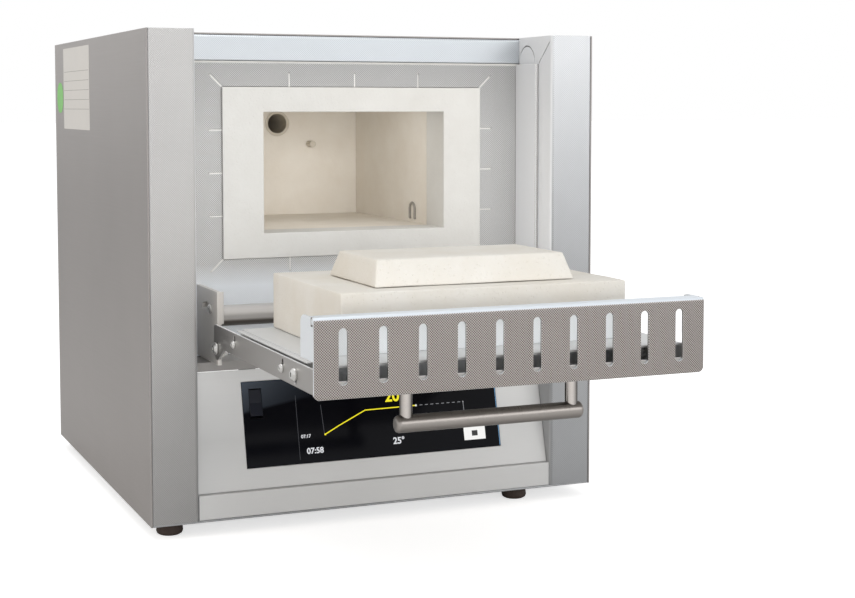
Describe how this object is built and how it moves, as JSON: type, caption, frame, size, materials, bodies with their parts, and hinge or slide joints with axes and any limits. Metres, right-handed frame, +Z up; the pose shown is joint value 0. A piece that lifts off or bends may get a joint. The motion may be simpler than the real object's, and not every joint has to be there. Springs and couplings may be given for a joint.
{
  "type": "muffle furnace",
  "caption": "Benchtop muffle furnace with a flap door that folds down into a work shelf, a brick-lined chamber, an exhaust tube and a sloping glass control panel.",
  "frame": {"origin": "on the surface that the feet stand on, under the middle of the whole object's box with the door folded down as stored", "axes": "+Z up, +Y from the front to the back, which is the object's longest way with the door folded down, +X to the right as seen from the front"},
  "size_m": [0.38, 0.643, 0.3917],
  "materials": {
    "steel": "fine textured stainless steel, satin",
    "side_steel": "brushed stainless steel, satin",
    "dark_steel": "bare steel and heating wire, matt",
    "bright_steel": "smooth stainless steel, bright",
    "fibre": "off-white vacuum-formed fibre board, matt",
    "brick": "cream lightweight refractory brick, matt",
    "plate": "cream ceramic plate, matt",
    "black_glass": "black backed glass, gloss",
    "black_plastic": "black plastic, satin",
    "board": "green circuit board",
    "brass": "plain brass",
    "rubber": "dark brown rubber, matt"
  },
  "bodies": {
    "casing": {"base_plate": "steel", "feet": "rubber", "left_side_panel": "side_steel", "right_side_panel": "side_steel", "left_pillar": "steel", "right_pillar": "steel", "cheek_liners": "steel", "top_cover": "steel", "front_rail": "steel", "rear_panel": "steel", "rear_screws": "bright_steel", "insulation_shelf": "steel", "front_sheet": "steel", "sill": "steel", "sill_moulding": "dark_steel", "base_strip": "steel", "control_panel": "steel", "display_glass": "black_glass", "screen_module": "black_plastic", "controller_board": "board", "rocker_housing": "black_plastic", "front_collar": "fibre", "front_board": "fibre", "bottom_insulation": "fibre", "top_insulation": "fibre", "left_insulation": "fibre", "right_insulation": "fibre", "rear_insulation": "fibre", "left_heating_plate": "plate", "right_heating_plate": "plate", "heating_wires": "dark_steel", "wire_terminals": "brass", "plate_staples": "dark_steel", "chamber_floor": "plate", "thermocouple": "plate", "exhaust_tube": "plate", "exhaust_flange": "steel", "power_inlet": "black_plastic", "heat_sink": "bright_steel", "solid_state_relay": "black_plastic", "terminal_block": "fibre", "door_contact": "black_plastic", "hinge_brackets": "steel", "hinge_lugs": "dark_steel", "bracket_screws": "bright_steel", "clamp_screws": "bright_steel", "hinge_pins": "bright_steel"},
    "door": {"door_tray": "steel", "slotted_panel": "steel", "brick_carrier": "bright_steel", "door_brick": "brick", "door_plug": "brick", "carrier_screws": "bright_steel", "handle_posts": "bright_steel", "handle_bar": "steel", "handle_screws": "bright_steel"},
    "rocker": {"mains_rocker": "black_plastic"}
  },
  "joints": [
    {"name": "door_hinge", "type": "hinge", "parent": "casing", "child": "door", "pos_m": [0, -0.0775, 0.1467], "axis": [-1, 0, 0], "range_deg": [0, 90]},
    {"name": "rocker_pivot", "type": "hinge", "parent": "casing", "child": "rocker", "pos_m": [-0.1, -0.04802, 0.09565], "axis": [1, 0, 0], "range_deg": [0, 12]}
  ]
}
